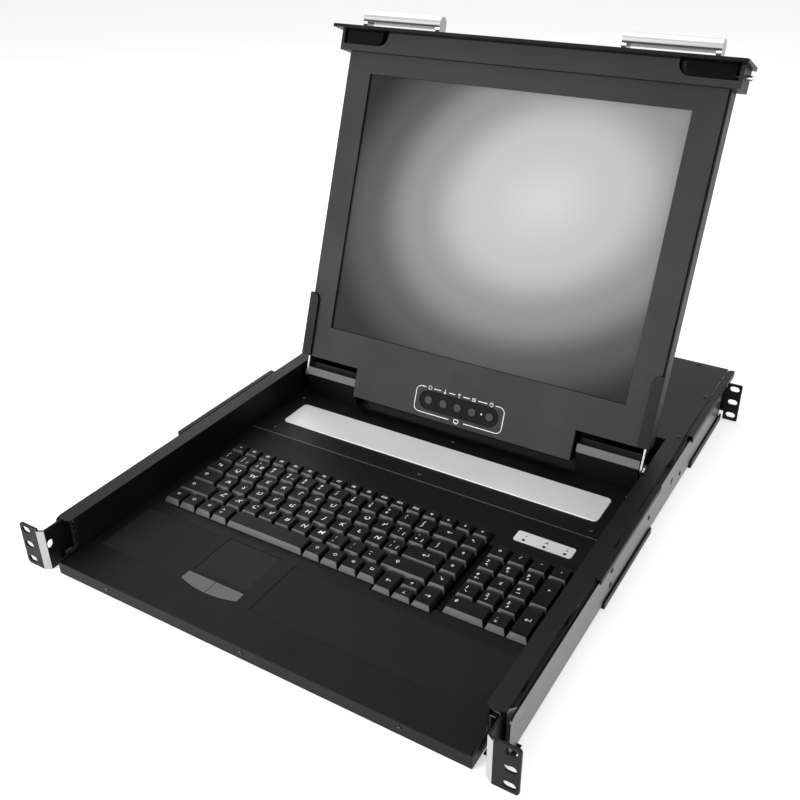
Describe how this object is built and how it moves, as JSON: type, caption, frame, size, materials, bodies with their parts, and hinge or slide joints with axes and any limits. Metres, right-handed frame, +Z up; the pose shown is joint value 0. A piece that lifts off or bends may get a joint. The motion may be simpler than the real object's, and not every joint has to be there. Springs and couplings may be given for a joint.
{
  "type": "rackmount lcd console drawer",
  "caption": "Rack drawer with a fold-up screen on friction hinges, full keyboard with touchpad, ball slides, sprung side latches, bar handles and adjustable rear brackets.",
  "frame": {"origin": "on the base plane, under the centre of the console's bounding box", "axes": "+X to the user's right, +Y from the front ears to the rear, +Z up; rest pose has the drawer pushed in and the screen raised"},
  "size_m": [0.48, 0.588, 0.4026],
  "materials": {
    "black_powder": "fine black powder coat, satin",
    "zinc_steel": "zinc-plated sheet, satin",
    "bearing_steel": "polished balls in steel strips",
    "deck_plastic": "fine-grained black moulding",
    "key_plastic": "satin black keycaps",
    "button_plastic": "dark grey satin plastic",
    "brushed_strip": "brushed along its length",
    "chrome_handle": "bright satin chrome",
    "screen": "dark anti-glare screen",
    "hinge_steel": "dark plated hinge steel",
    "front_beam": "black coated beam",
    "board": "green circuit board",
    "port_plastic": "black socket moulding"
  },
  "bodies": {
    "rack_rails": {"rail_left": "zinc_steel", "rail_right": "zinc_steel", "front_ear_left": "black_powder", "front_ear_right": "black_powder", "rail_clip_left": "black_powder", "rail_clip_right": "black_powder", "slide_outer_left": "zinc_steel", "slide_outer_right": "zinc_steel", "slide_spacers": "zinc_steel"},
    "rear_bracket_left": {"rear_bracket_left": "black_powder"},
    "rear_bracket_right": {"rear_bracket_right": "black_powder"},
    "middle_slides": {"slide_middle_left": "zinc_steel", "slide_middle_right": "zinc_steel"},
    "outer_cages": {"ball_cages_outer": "bearing_steel"},
    "inner_cages": {"ball_cages_inner": "bearing_steel"},
    "drawer": {"chassis_tray": "black_powder", "rear_cover": "black_powder", "slide_inner_left": "zinc_steel", "slide_inner_right": "zinc_steel", "keyboard_deck": "deck_plastic", "keyboard_plate": "hinge_steel", "touchpad": "deck_plastic", "cable_cover": "black_powder", "cover_strip": "brushed_strip", "status_label": "brushed_strip", "hinge_housing_left": "deck_plastic", "hinge_housing_right": "deck_plastic", "hinge_barrels": "hinge_steel", "power_unit": "zinc_steel", "rear_ports": "port_plastic"},
    "lid": {"lcd_shell": "black_powder", "lcd_bezel": "black_powder", "lcd_panel": "screen", "osd_board": "board", "hinge_arm_left": "hinge_steel", "hinge_arm_right": "hinge_steel", "arm_caps": "deck_plastic", "fascia_box": "front_beam", "fascia_plate": "black_powder", "handle_left": "chrome_handle", "handle_right": "chrome_handle"},
    "latch_left": {"latch_left": "hinge_steel"},
    "latch_right": {"latch_right": "hinge_steel"},
    "touch_button_left": {"touch_button_left": "button_plastic"},
    "touch_button_right": {"touch_button_right": "button_plastic"},
    "osd_button_1": {"osd_button_1": "button_plastic"},
    "osd_button_2": {"osd_button_2": "button_plastic"},
    "osd_button_3": {"osd_button_3": "button_plastic"},
    "osd_button_4": {"osd_button_4": "button_plastic"},
    "osd_button_5": {"osd_button_5": "button_plastic"},
    "keys_function": {"keys_function": "key_plastic"},
    "keys_number": {"keys_number": "key_plastic"},
    "keys_upper": {"keys_upper": "key_plastic"},
    "keys_home": {"keys_home": "key_plastic"},
    "keys_lower": {"keys_lower": "key_plastic"},
    "keys_bottom": {"keys_bottom": "key_plastic"},
    "key_space": {"key_space": "key_plastic"},
    "keys_arrow": {"keys_arrow": "key_plastic"},
    "keys_pad": {"keys_pad": "key_plastic"}
  },
  "joints": [
    {"name": "drawer_slide", "type": "slide", "parent": "rack_rails", "child": "drawer", "axis": [0, -1, 0], "range_m": [0, 0.4]},
    {"name": "middle_slide", "type": "slide", "parent": "rack_rails", "child": "middle_slides", "axis": [0, -1, 0], "range_m": [0, 0.2]},
    {"name": "outer_cage_slide", "type": "slide", "parent": "rack_rails", "child": "outer_cages", "axis": [0, -1, 0], "range_m": [0, 0.1]},
    {"name": "inner_cage_slide", "type": "slide", "parent": "rack_rails", "child": "inner_cages", "axis": [0, -1, 0], "range_m": [0, 0.3]},
    {"name": "rear_bracket_left_adjust", "type": "slide", "parent": "rack_rails", "child": "rear_bracket_left", "axis": [0, 1, 0], "range_m": [0, 0.09]},
    {"name": "rear_bracket_right_adjust", "type": "slide", "parent": "rack_rails", "child": "rear_bracket_right", "axis": [0, 1, 0], "range_m": [0, 0.09]},
    {"name": "lid_hinge", "type": "hinge", "parent": "drawer", "child": "lid", "pos_m": [0, 0.0738, 0.0324], "axis": [1, 0, 0], "range_deg": [-10, 110.21]},
    {"name": "latch_left_slide", "type": "slide", "parent": "lid", "child": "latch_left", "axis": [-1, 0, 0], "range_m": [-0.006, 0.003], "stiffness_N_per_m": 300},
    {"name": "latch_right_slide", "type": "slide", "parent": "lid", "child": "latch_right", "axis": [1, 0, 0], "range_m": [-0.006, 0.003], "stiffness_N_per_m": 300},
    {"name": "touch_button_left_press", "type": "slide", "parent": "drawer", "child": "touch_button_left", "axis": [0, 0, -1], "range_m": [0, 0.0008], "stiffness_N_per_m": 500, "springref_m": -0.0004},
    {"name": "touch_button_right_press", "type": "slide", "parent": "drawer", "child": "touch_button_right", "axis": [0, 0, -1], "range_m": [0, 0.0008], "stiffness_N_per_m": 500, "springref_m": -0.0004},
    {"name": "osd_button_1_press", "type": "slide", "parent": "lid", "child": "osd_button_1", "axis": [0, 0.9384, -0.3455], "range_m": [0, 0.0008], "stiffness_N_per_m": 500, "springref_m": -0.0004},
    {"name": "osd_button_2_press", "type": "slide", "parent": "lid", "child": "osd_button_2", "axis": [0, 0.9384, -0.3455], "range_m": [0, 0.0008], "stiffness_N_per_m": 500, "springref_m": -0.0004},
    {"name": "osd_button_3_press", "type": "slide", "parent": "lid", "child": "osd_button_3", "axis": [0, 0.9384, -0.3455], "range_m": [0, 0.0008], "stiffness_N_per_m": 500, "springref_m": -0.0004},
    {"name": "osd_button_4_press", "type": "slide", "parent": "lid", "child": "osd_button_4", "axis": [0, 0.9384, -0.3455], "range_m": [0, 0.0008], "stiffness_N_per_m": 500, "springref_m": -0.0004},
    {"name": "osd_button_5_press", "type": "slide", "parent": "lid", "child": "osd_button_5", "axis": [0, 0.9384, -0.3455], "range_m": [0, 0.0008], "stiffness_N_per_m": 500, "springref_m": -0.0004},
    {"name": "keys_function_press", "type": "slide", "parent": "drawer", "child": "keys_function", "axis": [0, 0, -1], "range_m": [0, 0.002], "stiffness_N_per_m": 2000, "springref_m": -0.0008},
    {"name": "keys_number_press", "type": "slide", "parent": "drawer", "child": "keys_number", "axis": [0, 0, -1], "range_m": [0, 0.002], "stiffness_N_per_m": 2000, "springref_m": -0.0008},
    {"name": "keys_upper_press", "type": "slide", "parent": "drawer", "child": "keys_upper", "axis": [0, 0, -1], "range_m": [0, 0.002], "stiffness_N_per_m": 2000, "springref_m": -0.0008},
    {"name": "keys_home_press", "type": "slide", "parent": "drawer", "child": "keys_home", "axis": [0, 0, -1], "range_m": [0, 0.002], "stiffness_N_per_m": 2000, "springref_m": -0.0008},
    {"name": "keys_lower_press", "type": "slide", "parent": "drawer", "child": "keys_lower", "axis": [0, 0, -1], "range_m": [0, 0.002], "stiffness_N_per_m": 2000, "springref_m": -0.0008},
    {"name": "keys_bottom_press", "type": "slide", "parent": "drawer", "child": "keys_bottom", "axis": [0, 0, -1], "range_m": [0, 0.002], "stiffness_N_per_m": 2000, "springref_m": -0.0008},
    {"name": "key_space_press", "type": "slide", "parent": "drawer", "child": "key_space", "axis": [0, 0, -1], "range_m": [0, 0.002], "stiffness_N_per_m": 2000, "springref_m": -0.0008},
    {"name": "keys_arrow_press", "type": "slide", "parent": "drawer", "child": "keys_arrow", "axis": [0, 0, -1], "range_m": [0, 0.002], "stiffness_N_per_m": 2000, "springref_m": -0.0008},
    {"name": "keys_pad_press", "type": "slide", "parent": "drawer", "child": "keys_pad", "axis": [0, 0, -1], "range_m": [0, 0.002], "stiffness_N_per_m": 2000, "springref_m": -0.0008}
  ],
  "couplings": [
    {"joint": "middle_slide", "follows": "drawer_slide", "ratio": 0.5},
    {"joint": "outer_cage_slide", "follows": "drawer_slide", "ratio": 0.25},
    {"joint": "inner_cage_slide", "follows": "drawer_slide", "ratio": 0.75}
  ]
}
